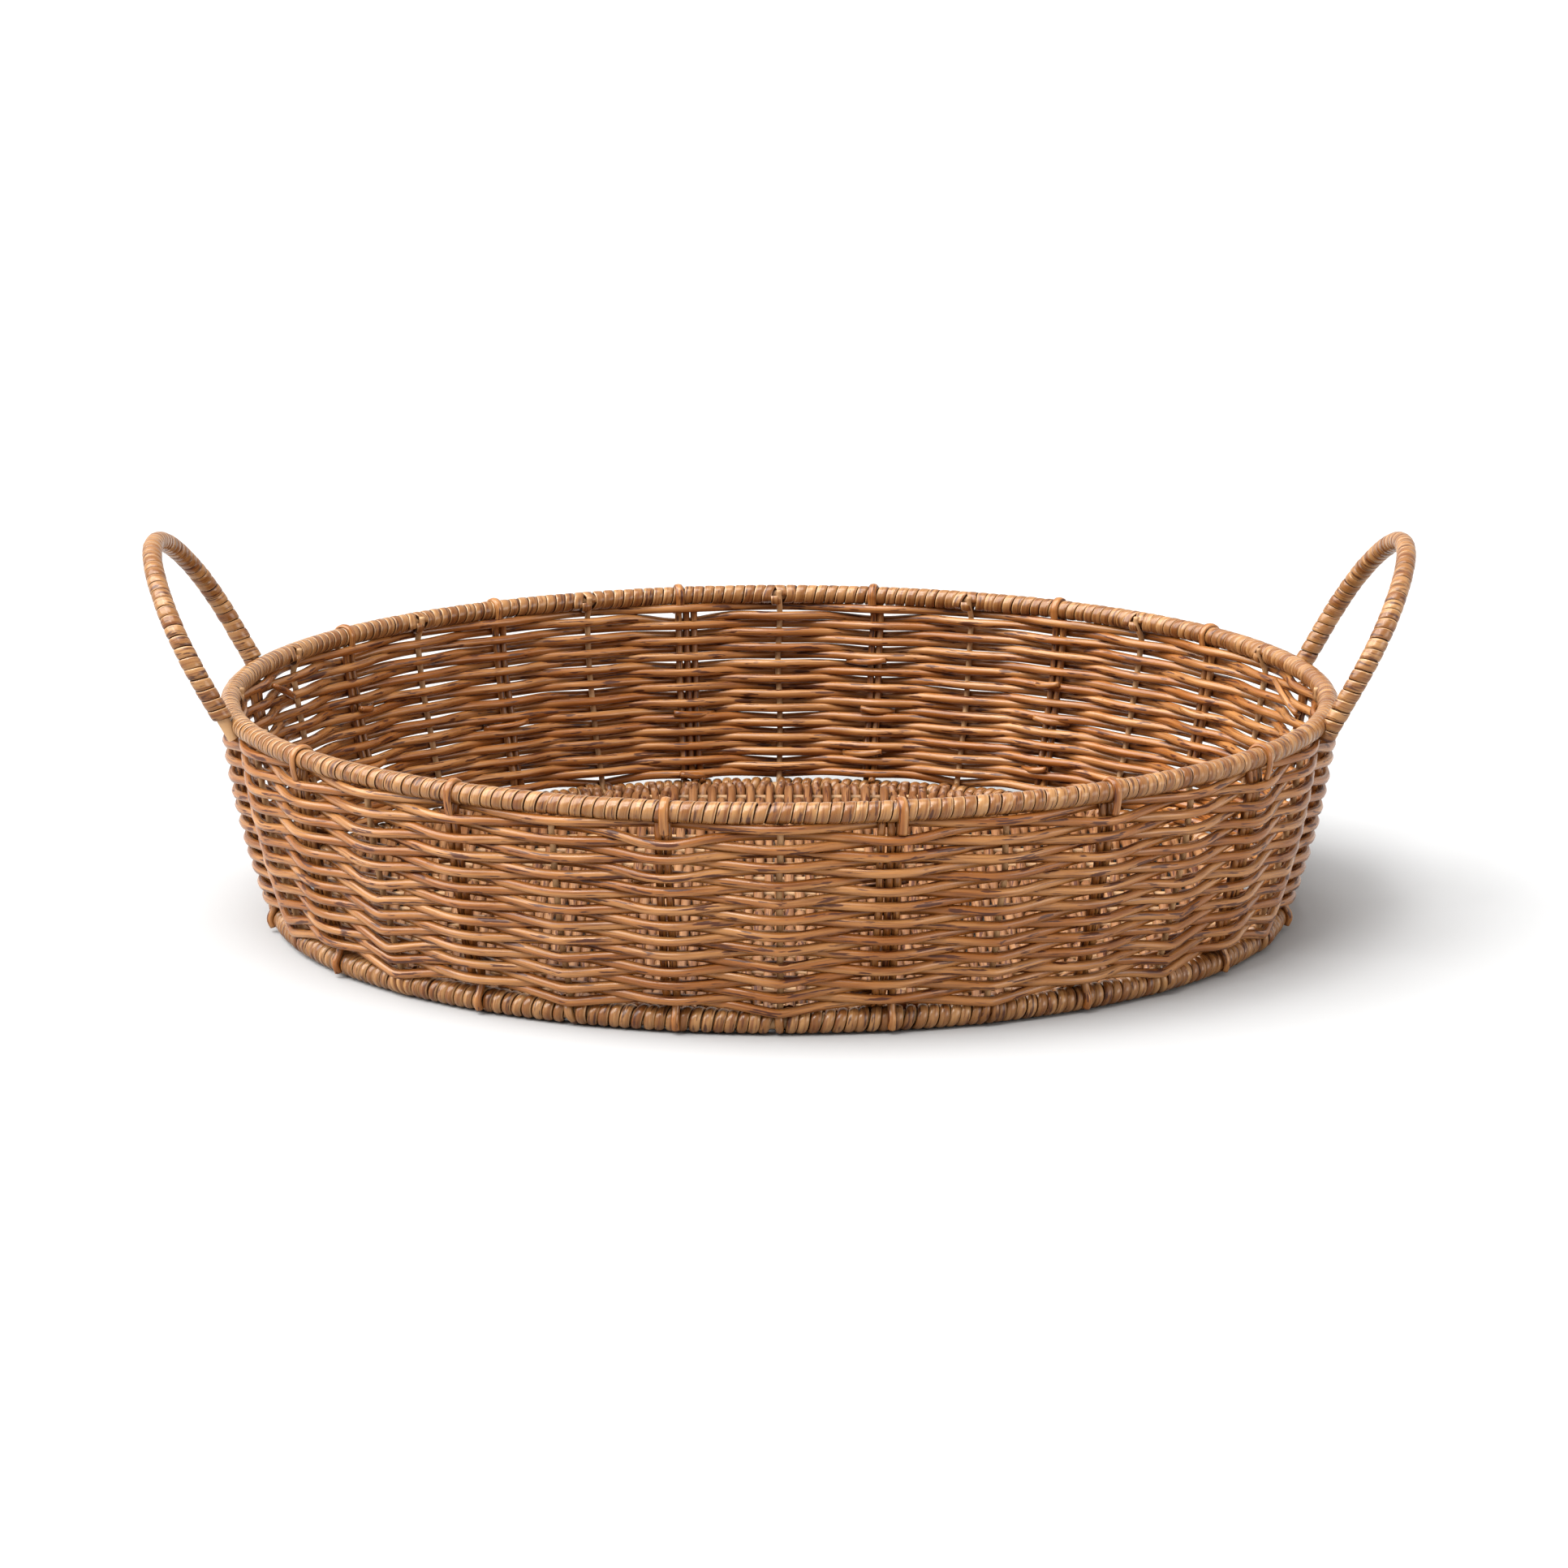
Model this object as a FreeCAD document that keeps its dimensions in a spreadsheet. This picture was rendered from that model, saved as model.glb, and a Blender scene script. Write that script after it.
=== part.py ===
import FreeCAD, Part
import Sketcher
import math
import os

# Round wicker tray basket with two fixed loop handles.
# A welded wire frame (rim ring, base ring, ribs, floor bars and handles) carries the basket work:
# rod rows woven round the wall, paired rod stakes between the ribs, and strip wound on the rings.
# Origin: centre of the ground circle. +Z up, the handles stand at +X and -X. Millimetres.

SIZES = (
    ("rim_radius", 225.0, "rim ring, to the middle of its wire"),
    ("base_radius", 205.5, "base ring, to the middle of its wire"),
    ("wall_bulge", 2.8, "how far the wall swells outside a straight cone"),
    ("wire_count", 16, "ribs, and as many stake pairs between them"),
    ("row_count", 23, "woven rows, which set the height of the wall"),
    ("rod_dia", 3.2, "woven rod"),
    ("row_gap", 0.03, "play between two rows where they cross"),
    ("weave_play", 0.25, "play between a row and the upright that it passes"),
    ("bend_radius", 47.0, "bend of a row round the outside of an upright"),
    ("first_gap", 1.5, "daylight under the first row"),
    ("top_gap", 0.4, "daylight over the last row"),
    ("rib_dia", 2.6, "rib wire"),
    ("stake_dia", 3.2, "stake rod"),
    ("stake_gap", 0.2, "space between the two rods of a pair"),
    ("rim_wire_dia", 5.0, "rim ring wire"),
    ("rim_strip", 1.5, "strip wound on the rim ring"),
    ("base_wire_dia", 6.0, "base ring wire"),
    ("base_strip", 2.0, "strip wound on the base ring"),
    ("base_flat", 0.15, "how much of the base winding is pressed flat under the basket"),
    ("wrap_gap", 0.3, "play between a winding and a wire that comes through it"),
    ("tie_play", 0.02, "play between a tie and the winding under it"),
    ("rim_tie_width", 3.0, "tie at each stake pair, on the rim"),
    ("rim_tie_strip", 1.2, "thickness of that tie"),
    ("base_tie_width", 4.0, "tie at each stake pair, on the base ring"),
    ("base_tie_strip", 0.9, "thickness of that tie"),
    ("handle_wire_dia", 5.0, "handle wire"),
    ("handle_strip", 1.25, "strip wound on the handle"),
    ("handle_half_width", 65.0, "handle leg, from the middle of the handle"),
    ("handle_rise", 71.3, "handle wire top above the rim, measured in the handle's own plane"),
    ("handle_leg", 18.3, "straight part of a leg above the rim"),
    ("handle_shoulder", 45.0, "bend radius of a shoulder"),
    ("handle_lean", 29.0, "outward lean from upright, degrees"),
    ("handle_foot", 6.0, "wire foot below the middle of the rim"),
    ("handle_bare", 3.0, "bare wire between the middle of the rim and the winding"),
    ("floor_bar_dia", 3.0, "floor bar"),
    ("floor_bar_pitch", 26.5, "spacing of the floor bars"),
    ("floor_bar_play", 0.1, "play round a floor bar"),
    ("floor_thickness", 9.0, "floor weave, over and under the bars"),
    ("floor_gap", 0.3, "space between the floor weave and the base ties"),
)

# Sizes that follow from the ones above, where a name after a lone point is one of this same list.
# The wall line is an arc through both ring wires.
WORKED = (
    ("base_wrap_radius", "Float", "Sizes.base_wire_dia / 2 + Sizes.base_strip"),
    ("base_tie_radius", "Float", ".base_wrap_radius + Sizes.tie_play + Sizes.base_tie_strip"),
    ("base_height", "Float", ".base_wrap_radius - Sizes.base_flat"),
    ("rim_wrap_radius", "Float", "Sizes.rim_wire_dia / 2 + Sizes.rim_strip"),
    ("rim_tie_radius", "Float", ".rim_wrap_radius + Sizes.tie_play + Sizes.rim_tie_strip"),
    ("row_pitch", "Float", "Sizes.rod_dia + Sizes.row_gap"),
    ("first_row", "Float", ".base_height + .base_wrap_radius + Sizes.first_gap + Sizes.rod_dia / 2"),
    ("last_row", "Float", ".first_row + (Sizes.row_count - 1) * .row_pitch"),
    ("rim_height", "Float", ".last_row + Sizes.rod_dia / 2 + Sizes.top_gap + .rim_wrap_radius"),
    ("rise", "Float", ".rim_height - .base_height"),
    ("flare", "Float", "Sizes.rim_radius - Sizes.base_radius"),
    ("chord", "Float", "sqrt(.rise^2 + .flare^2)"),
    ("arc_radius", "Float", ".chord^2 / (8 * Sizes.wall_bulge) + Sizes.wall_bulge / 2"),
    ("arc_depth", "Float", ".arc_radius - Sizes.wall_bulge"),
    ("arc_out", "Float", "Sizes.base_radius + .flare / 2 - .arc_depth * .rise / .chord"),
    ("arc_up", "Float", ".base_height + .rise / 2 + .arc_depth * .flare / .chord"),
    ("foot_angle", "Angle", "asin((.base_height - .arc_up) / .arc_radius)"),
    ("head_angle", "Angle", "asin((.rim_height - .arc_up) / .arc_radius)"),
    ("upright_step", "Angle", "180 deg / Sizes.wire_count"),
    ("weld_angle", "Angle", "asin(Sizes.handle_half_width / Sizes.rim_radius)"),
    ("weld_reach", "Float", "(Sizes.rim_wire_dia + Sizes.handle_wire_dia) / 2"),
    ("weld_slant", "Float", "sqrt(cos(Sizes.handle_lean)^2 + (cos(.weld_angle) * sin(Sizes.handle_lean))^2)"),
    ("handle_out", "Float", "Sizes.rim_radius * cos(.weld_angle)"
     " + .weld_reach * .weld_slant / (cos(.weld_angle) * cos(Sizes.handle_lean))"),
)

X_AXIS = FreeCAD.Vector(1, 0, 0)
Y_AXIS = FreeCAD.Vector(0, 1, 0)
Z_AXIS = FreeCAD.Vector(0, 0, 1)
ORIGIN = FreeCAD.Vector(0, 0, 0)

doc = FreeCAD.newDocument("WickerBasket")
subparts = []


def write_sizes():
    sheet = doc.addObject("Spreadsheet::Sheet", "Sizes")
    for row, (name, value, note) in enumerate(SIZES, start=1):
        sheet.set(f"A{row}", name)
        sheet.set(f"B{row}", str(value))
        sheet.set(f"C{row}", note)
        sheet.setAlias(f"B{row}", name)
    doc.recompute()
    return sheet


def write_worked_sizes():
    worked = doc.addObject("App::VarSet", "Worked")
    for name, kind, expression in WORKED:
        worked.addProperty(f"App::Property{kind}", name, "Worked")
        worked.setExpression(name, expression)
        doc.recompute()
    return worked


def bind(feature, **expressions):
    for name, expression in expressions.items():
        feature.setExpression(name, expression)
    return feature


def node(feature, label):
    feature.Label = label
    subparts.append(feature)
    return feature


def placed(turn_about_z, move, turn_axis="0; 0; 1", turn="0"):
    """Placement expression: turned and moved in the plane of an upright, then turned round the basket."""
    return (
        f"placement(vector(0; 0; 0); rotation(vector(0; 0; 1); {turn_about_z}))"
        f" * placement(vector({move}); rotation(vector({turn_axis}); {turn}))"
    )


def group(name, features):
    compound = doc.addObject("Part::Compound", name)
    compound.Links = features
    return compound


def cut(name, base, tool):
    feature = doc.addObject("Part::Cut", name)
    feature.Base = base
    feature.Tool = tool
    return feature


def origin_feature(body, role):
    return next(item for item in body.Origin.OriginFeatures if item.Role == role)


def sketch_on(body, role, name):
    sketch = body.newObject("Sketcher::SketchObject", name)
    sketch.AttachmentSupport = [(origin_feature(body, role), "")]
    sketch.MapMode = "FlatFace"
    return sketch


def draw_circle(sketch, centre, radius, across, up, size):
    """Circle with its centre and radius bound to the expressions across, up and size."""
    index = sketch.addGeometry(Part.Circle(FreeCAD.Vector(centre[0], centre[1], 0), Z_AXIS, radius), False)
    for kind, value, expression in (("DistanceX", centre[0], across), ("DistanceY", centre[1], up)):
        if expression is None:
            sketch.addConstraint(Sketcher.Constraint("PointOnObject", index, 3, -2))
            continue
        constraint = sketch.addConstraint(Sketcher.Constraint(kind, -1, 1, index, 3, value))
        sketch.setExpression(f"Constraints[{constraint}]", expression)
    constraint = sketch.addConstraint(Sketcher.Constraint("Radius", index, radius))
    sketch.setExpression(f"Constraints[{constraint}]", size)


# The two welded rings that carry everything else.
def wire_ring(label, radius, wire, height):
    ring = doc.addObject("Part::Torus", label)
    bind(ring, Radius1=radius, Radius2=f"{wire} / 2")
    ring.setExpression("Placement", placed("0", f"0; 0; {height}"))
    return node(ring, label)


# Winding on a ring: a sleeve in as many lengths as there are ribs, open where each rib is welded on.
def strip_winding(name, radius, wire, wrap_radius, height):
    body = doc.addObject("PartDesign::Body", name)
    section = sketch_on(body, "XZ_Plane", f"{name}_section")
    centre = (worked_size(radius), worked_size(height))
    draw_circle(section, centre, worked_size(wire) / 2, radius, height, f"{wire} / 2")
    draw_circle(section, centre, worked_size(wrap_radius), radius, height, wrap_radius)
    doc.recompute()
    sleeve = body.newObject("PartDesign::Revolution", f"{name}_length")
    sleeve.Profile = section
    sleeve.ReferenceAxis = (origin_feature(body, "Z_Axis"), [""])
    sleeve.Midplane = True
    opening = f"(Sizes.rib_dia + 2 * Sizes.wrap_gap) / {radius} * 180 deg / pi"
    sleeve.setExpression("Angle", f"2 * Worked.upright_step - {opening}")
    return repeat_round(body, sleeve, name)


# Tie: a short band over the winding at each stake pair.
def tie_bands(name, radius, height, inner, outer, width):
    body = doc.addObject("PartDesign::Body", name)
    section = sketch_on(body, "XZ_Plane", f"{name}_section")
    centre = (worked_size(radius), worked_size(height))
    draw_circle(section, centre, worked_size(outer) - 1, radius, height, f"{inner} + Sizes.tie_play")
    draw_circle(section, centre, worked_size(outer), radius, height, outer)
    doc.recompute()
    band = body.newObject("PartDesign::Pad", f"{name}_band")
    band.Profile = section
    band.Midplane = True
    band.setExpression("Length", width)
    return repeat_round(body, band, name)


def repeat_round(body, feature, name):
    """Repeats a body's feature once for each stake pair, the first pair half a step from +X."""
    doc.recompute()
    pattern = body.newObject("PartDesign::PolarPattern", f"{name}_round")
    pattern.Originals = [feature]
    pattern.Axis = (origin_feature(body, "Z_Axis"), [""])
    pattern.Angle = 360
    pattern.setExpression("Occurrences", "Sizes.wire_count")
    body.Tip = pattern
    body.setExpression("Placement", placed("Worked.upright_step", "0; 0; 0"))
    doc.recompute()
    return body


# Upright: a wire or rod bent to the wall line, from clear_foot above the base ring's middle
# to clear_head below the rim's. aside moves it sideways out of the plane through the basket's axis.
def upright(name, thickness, turn, aside, clear_foot, clear_head):
    bent = doc.addObject("Part::Torus", name)
    start = f"Worked.foot_angle + {clear_foot} / Worked.arc_radius * 180 deg / pi"
    end = f"Worked.head_angle - {clear_head} / Worked.arc_radius * 180 deg / pi"
    bind(bent, Radius1="Worked.arc_radius", Radius2=f"{thickness} / 2", Angle3=f"{end} - ({start})")
    lifted = placed(turn, f"Worked.arc_out; {aside}; Worked.arc_up", "1; 0; 0", "90")
    bent.setExpression("Placement", f"{lifted} * placement(vector(0; 0; 0); rotation(vector(0; 0; 1); {start}))")
    return bent


def ribs():
    for index in range(int(sheet.wire_count)):
        name = f"rib_wire_{index + 1:02d}"
        turn = f"{2 * index} * Worked.upright_step"
        rib = upright(name, "Sizes.rib_dia", turn, "0", "Sizes.base_wire_dia / 2", "Sizes.rim_wire_dia / 2")
        node(rib, name)


def stakes():
    sides = {"right": [], "rear": [], "left": [], "front": []}
    step = 180 / sheet.wire_count
    for index in range(int(sheet.wire_count)):
        angle = (2 * index + 1) * step
        side = list(sides)[int((angle + 45) % 360 // 90)]
        for hand, sign in (("a", "-"), ("b", "")):
            aside = f"{sign}(Sizes.stake_dia + Sizes.stake_gap) / 2"
            turn = f"{2 * index + 1} * Worked.upright_step"
            name = f"stake_rod_{index + 1:02d}{hand}"
            rod = upright(name, "Sizes.stake_dia", turn, aside, "Worked.base_tie_radius", "Worked.rim_tie_radius")
            sides[side].append(rod)
    for side, rods in sides.items():
        node(group(f"stake_pairs_{side}", rods), f"stake_pairs_{side}")


# One woven row: a closed wave of arcs, one arc at each upright, each tangent to the next.
# outer and inner are how far the row's middle stands from the basket's axis as it passes an upright.
def row_line(outer, inner, outside_ribs, height):
    step = math.radians(180 / sheet.wire_count)
    bend = sheet.bend_radius
    closeness = 1 - math.cos(step)
    gap_squared = (outer - inner) ** 2 + 2 * outer * inner * closeness
    drop = outer - inner * math.cos(step)
    lift = inner - outer * math.cos(step)
    hollow = (2 * bend * drop - gap_squared) / (2 * lift - 2 * closeness * bend)
    arcs = []
    for index in range(2 * int(sheet.wire_count)):
        is_outside = (index % 2 == 0) == outside_ribs
        reach, radius = (outer, bend) if is_outside else (inner, hollow)
        centre_out = outer - bend if is_outside else inner + hollow
        next_out = inner + hollow if is_outside else outer - bend
        share = radius / (bend + hollow)
        centre = round_axis(centre_out, index * step, height)
        ends = []
        for neighbour in (index - 1, index + 1):
            towards = round_axis(next_out, neighbour * step, height)
            ends.append(centre + (towards - centre) * share)
        arcs.append(Part.Arc(ends[0], round_axis(reach, index * step, height), ends[1]).toShape())
    return Part.Wire(arcs)


def round_axis(radius, angle, height):
    return FreeCAD.Vector(radius * math.cos(angle), radius * math.sin(angle), height)


# Rows take turns, counted down from the top: the top row passes outside the ribs and inside the stake
# pairs, where it clears the rim ties, and the next one the other way.
def weavers():
    for index in range(int(sheet.row_count)):
        name = f"weaver_{index + 1:02d}"
        height = worked.first_row + index * worked.row_pitch
        rise = (height - worked.arc_up) / worked.arc_radius
        upright_share = math.sqrt(1 - rise ** 2)
        wall = worked.arc_out + worked.arc_radius * upright_share
        past_rib = ((sheet.rod_dia + sheet.rib_dia) / 2 + sheet.weave_play) / upright_share
        past_stake = ((sheet.rod_dia + sheet.stake_dia) / 2 + sheet.weave_play) / upright_share
        outside_ribs = (int(sheet.row_count) - 1 - index) % 2 == 0
        outer = wall + (past_rib if outside_ribs else past_stake)
        inner = wall - (past_stake if outside_ribs else past_rib)
        line = doc.addObject("Part::Feature", f"{name}_line")
        line.Shape = row_line(outer, inner, outside_ribs, height)
        start = line.Shape.Edges[0]
        section = doc.addObject("Part::Circle", f"{name}_section")
        section.setExpression("Radius", "Sizes.rod_dia / 2")
        facing = FreeCAD.Rotation(Z_AXIS, start.tangentAt(start.FirstParameter))
        section.Placement = FreeCAD.Placement(start.valueAt(start.FirstParameter), facing)
        rod = doc.addObject("Part::Sweep", name)
        rod.Sections = [section]
        rod.Spine = (line, [])
        rod.Solid = True
        node(rod, name)


# Handle outline in the handle's own plane: two straight legs, two shoulders and a top arc.
# The top arc's radius is whatever touches both shoulders and the top point.
def handle_outline(body, name, leg_start):
    sketch = sketch_on(body, "YZ_Plane", f"{name}_outline")
    half = sheet.handle_half_width
    leg = sheet.handle_leg
    shoulder = sheet.handle_shoulder
    rise = sheet.handle_rise
    inset = half - shoulder
    top_radius = (shoulder ** 2 - inset ** 2 - (leg - rise) ** 2) / (2 * (leg - rise + shoulder))
    top_centre = rise - top_radius
    join = math.atan2(leg - top_centre, inset)
    start = worked_size(leg_start)

    def point(across, up):
        return FreeCAD.Vector(across, up, 0)

    def arc(across, up, radius, first, last):
        return Part.ArcOfCircle(Part.Circle(point(across, up), Z_AXIS, radius), first, last)

    left_leg = sketch.addGeometry(Part.LineSegment(point(-half, start), point(-half, leg)), False)
    left = sketch.addGeometry(arc(-inset, leg, shoulder, math.pi - join, math.pi), False)
    top = sketch.addGeometry(arc(0, top_centre, top_radius, join, math.pi - join), False)
    right = sketch.addGeometry(arc(inset, leg, shoulder, 0, join), False)
    right_leg = sketch.addGeometry(Part.LineSegment(point(half, leg), point(half, start)), False)
    peak = sketch.addGeometry(Part.Point(point(0, rise)), True)
    for line in (left_leg, right_leg):
        sketch.addConstraint(Sketcher.Constraint("Vertical", line))
    for first, first_end, second, second_end in (
        (left_leg, 2, left, 2), (left, 1, top, 2), (top, 1, right, 2), (right, 1, right_leg, 1)
    ):
        sketch.addConstraint(Sketcher.Constraint("Tangent", first, first_end, second, second_end))
    sketch.addConstraint(Sketcher.Constraint("Equal", left, right))
    sketch.addConstraint(Sketcher.Constraint("Symmetric", left_leg, 1, right_leg, 2, -2))
    sketch.addConstraint(Sketcher.Constraint("Horizontal", left_leg, 2, right, 1))
    sketch.addConstraint(Sketcher.Constraint("PointOnObject", peak, 1, -2))
    sketch.addConstraint(Sketcher.Constraint("PointOnObject", peak, 1, top))
    for constraint, expression in (
        (Sketcher.Constraint("Radius", right, shoulder), "Sizes.handle_shoulder"),
        (Sketcher.Constraint("DistanceX", -1, 1, right_leg, 2, half), "Sizes.handle_half_width"),
        (Sketcher.Constraint("DistanceY", -1, 1, right_leg, 2, start), leg_start),
        (Sketcher.Constraint("DistanceY", -1, 1, right_leg, 1, leg), "Sizes.handle_leg"),
        (Sketcher.Constraint("DistanceY", -1, 1, peak, 1, rise), "Sizes.handle_rise"),
    ):
        index = sketch.addConstraint(constraint)
        sketch.setExpression(f"Constraints[{index}]", expression)
    return sketch


def handle_piece(name, side_turn, leg_start, radii):
    """Handle wire, or with two radii the winding on it, swept along the outline from leg_start."""
    body = doc.addObject("PartDesign::Body", name)
    outline = handle_outline(body, name, leg_start)
    section = sketch_on(body, "XY_Plane", f"{name}_section")
    section.setExpression("AttachmentOffset.Base.z", leg_start)
    for radius in radii:
        centre = (0, -sheet.handle_half_width)
        draw_circle(section, centre, worked_size(radius), None, "-Sizes.handle_half_width", radius)
    doc.recompute()
    pipe = body.newObject("PartDesign::AdditivePipe", f"{name}_bend")
    pipe.Profile = section
    pipe.Spine = (outline, [f"Edge{index}" for index in range(1, 6)])
    body.Tip = pipe
    leaned = placed(side_turn, "Worked.handle_out; 0; Worked.rim_height", "0; 1; 0", "Sizes.handle_lean")
    body.setExpression("Placement", leaned)
    return node(body, name)


def handles():
    wire = "Sizes.handle_wire_dia / 2"
    wrap = "Sizes.handle_wire_dia / 2 + Sizes.handle_strip"
    for side, turn in (("right", "0"), ("left", "180")):
        handle_piece(f"handle_wire_{side}", turn, "-Sizes.handle_foot", [wire])
        handle_piece(f"handle_wrap_{side}", turn, "Sizes.handle_bare", [wrap, wire])


# Room in the rim winding for the four handle feet, which are welded straight to the rim wire.
def foot_room():
    feet = []
    for side, turn in (("right", "0"), ("left", "180")):
        for end, sign in (("front", "-"), ("rear", "")):
            foot = doc.addObject("Part::Cylinder", f"foot_room_{side}_{end}")
            bind(
                foot,
                Radius="Sizes.handle_wire_dia / 2 + Sizes.wrap_gap",
                Height="Sizes.handle_foot + Sizes.wrap_gap + Worked.rim_tie_radius * 2",
            )
            leg = f"Worked.handle_out; {sign}Sizes.handle_half_width; Worked.rim_height"
            leaned = placed(turn, leg, "0; 1; 0", "Sizes.handle_lean")
            lowered = "placement(vector(0; 0; -Sizes.handle_foot - Sizes.wrap_gap); rotation(vector(0; 0; 1); 0))"
            foot.setExpression("Placement", f"{leaned} * {lowered}")
            feet.append(foot)
    return group("foot_room", feet)


# Floor bars run from side to side, spaced evenly each way from the middle.
def bar_set(name, thickness):
    side_count = int((sheet.base_radius - worked.base_tie_radius) / sheet.floor_bar_pitch)
    bars = []
    for index in range(-side_count, side_count + 1):
        bar = doc.addObject("Part::Cylinder", f"{name}_{index + side_count + 1:02d}")
        back = f"{index} * Sizes.floor_bar_pitch"
        reach = f"sqrt(Sizes.base_radius^2 - ({back})^2)"
        bind(bar, Radius=f"{thickness} / 2", Height=f"2 * {reach}")
        bar.setExpression("Placement", placed("0", f"-{reach}; {back}; Worked.base_height", "0; 1; 0", "90"))
        bars.append(bar)
    return group(name, bars)


def floor(base_ring):
    bars = cut("floor_bars", bar_set("bar_lengths", "Sizes.floor_bar_dia"), base_ring)
    node(bars, "floor_bars")
    room = bar_set("bar_room", "(Sizes.floor_bar_dia + 2 * Sizes.floor_bar_play)")
    disc = doc.addObject("Part::Cylinder", "floor_disc")
    bind(
        disc,
        Radius="Sizes.base_radius - Worked.base_tie_radius - Sizes.floor_gap",
        Height="Sizes.floor_thickness",
    )
    disc.setExpression("Placement", placed("0", "0; 0; Worked.base_height - Sizes.floor_thickness / 2"))
    node(cut("floor_weave", disc, room), "floor_weave")
    return room


# Everything wound on the base ring is pressed flat where the basket stands on it.
def ground():
    slab = doc.addObject("Part::Box", "ground")
    across = "2 * (Sizes.base_radius + 2 * Worked.base_tie_radius)"
    bind(slab, Length=across, Width=across, Height="2 * Worked.base_tie_radius")
    corner = f"-{across} / 2"
    slab.setExpression("Placement", placed("0", f"{corner}; {corner}; -2 * Worked.base_tie_radius"))
    return slab


def worked_size(expression):
    """Present value of an expression in Sizes and Worked, used only to draw a sketch near its final shape."""
    return float(worked.evalExpression(expression))


def check_and_export():
    doc.recompute()
    for feature in doc.Objects:
        if "Invalid" in feature.State or "Error" in feature.State:
            raise RuntimeError(f"{feature.Name} failed: {feature.State}")
    os.makedirs("parts", exist_ok=True)
    for part in subparts:
        if part.Shape.isNull() or not part.Shape.isValid() or not part.Shape.Solids:
            raise RuntimeError(f"{part.Label} has no valid solid")
        print(part.Label, len(part.Shape.Solids), "solids", round(part.Shape.Volume), "mm3")
        part.Shape.exportStep(f"parts/{part.Label}.step")


sheet = write_sizes()
worked = write_worked_sizes()

rim_ring = wire_ring("rim_ring", "Sizes.rim_radius", "Sizes.rim_wire_dia", "Worked.rim_height")
base_ring = wire_ring("base_ring", "Sizes.base_radius", "Sizes.base_wire_dia", "Worked.base_height")
ribs()
bar_room = floor(base_ring)
handles()
stakes()
weavers()

rim_winding = strip_winding(
    "rim_winding", "Sizes.rim_radius", "Sizes.rim_wire_dia", "Worked.rim_wrap_radius", "Worked.rim_height"
)
node(cut("rim_wrap", rim_winding, foot_room()), "rim_wrap")
base_winding = strip_winding(
    "base_winding", "Sizes.base_radius", "Sizes.base_wire_dia", "Worked.base_wrap_radius", "Worked.base_height"
)
base_room = group("base_room", [ground(), bar_room])
node(cut("base_wrap", base_winding, base_room), "base_wrap")

rim_bands = tie_bands(
    "rim_bands", "Sizes.rim_radius", "Worked.rim_height",
    "Worked.rim_wrap_radius", "Worked.rim_tie_radius", "Sizes.rim_tie_width",
)
node(rim_bands, "rim_ties")
base_bands = tie_bands(
    "base_bands", "Sizes.base_radius", "Worked.base_height",
    "Worked.base_wrap_radius", "Worked.base_tie_radius", "Sizes.base_tie_width",
)
node(cut("base_ties", base_bands, base_room), "base_ties")

check_and_export()
print(len(subparts), "nodes")
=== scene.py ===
import math
import random

import bpy
import numpy as np
from mathutils import Matrix, Vector, noise


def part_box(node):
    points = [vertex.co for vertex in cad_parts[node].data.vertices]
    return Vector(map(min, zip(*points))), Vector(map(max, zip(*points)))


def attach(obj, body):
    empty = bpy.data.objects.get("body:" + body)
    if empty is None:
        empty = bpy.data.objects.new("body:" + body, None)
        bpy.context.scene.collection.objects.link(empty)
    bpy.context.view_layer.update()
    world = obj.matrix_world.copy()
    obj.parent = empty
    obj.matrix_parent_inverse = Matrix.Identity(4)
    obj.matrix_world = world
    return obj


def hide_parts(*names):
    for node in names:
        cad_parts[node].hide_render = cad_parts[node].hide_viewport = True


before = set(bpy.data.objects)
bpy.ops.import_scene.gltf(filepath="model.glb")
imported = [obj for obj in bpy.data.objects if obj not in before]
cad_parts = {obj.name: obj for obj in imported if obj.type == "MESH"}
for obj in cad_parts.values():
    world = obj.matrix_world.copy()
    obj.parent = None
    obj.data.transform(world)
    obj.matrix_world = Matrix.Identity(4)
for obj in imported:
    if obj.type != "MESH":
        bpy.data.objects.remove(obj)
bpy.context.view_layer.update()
bpy.ops.object.select_all(action="DESELECT")


# ---- Wire frame ----
# Soft iron wire: a rim ring, a base ring, sixteen ribs, floor bars and two handles, welded where they
# touch. It is painted a tan brown, thinly, so the paint is uneven and rather dull.

MM = 0.001
TURN = 2 * math.pi


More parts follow.
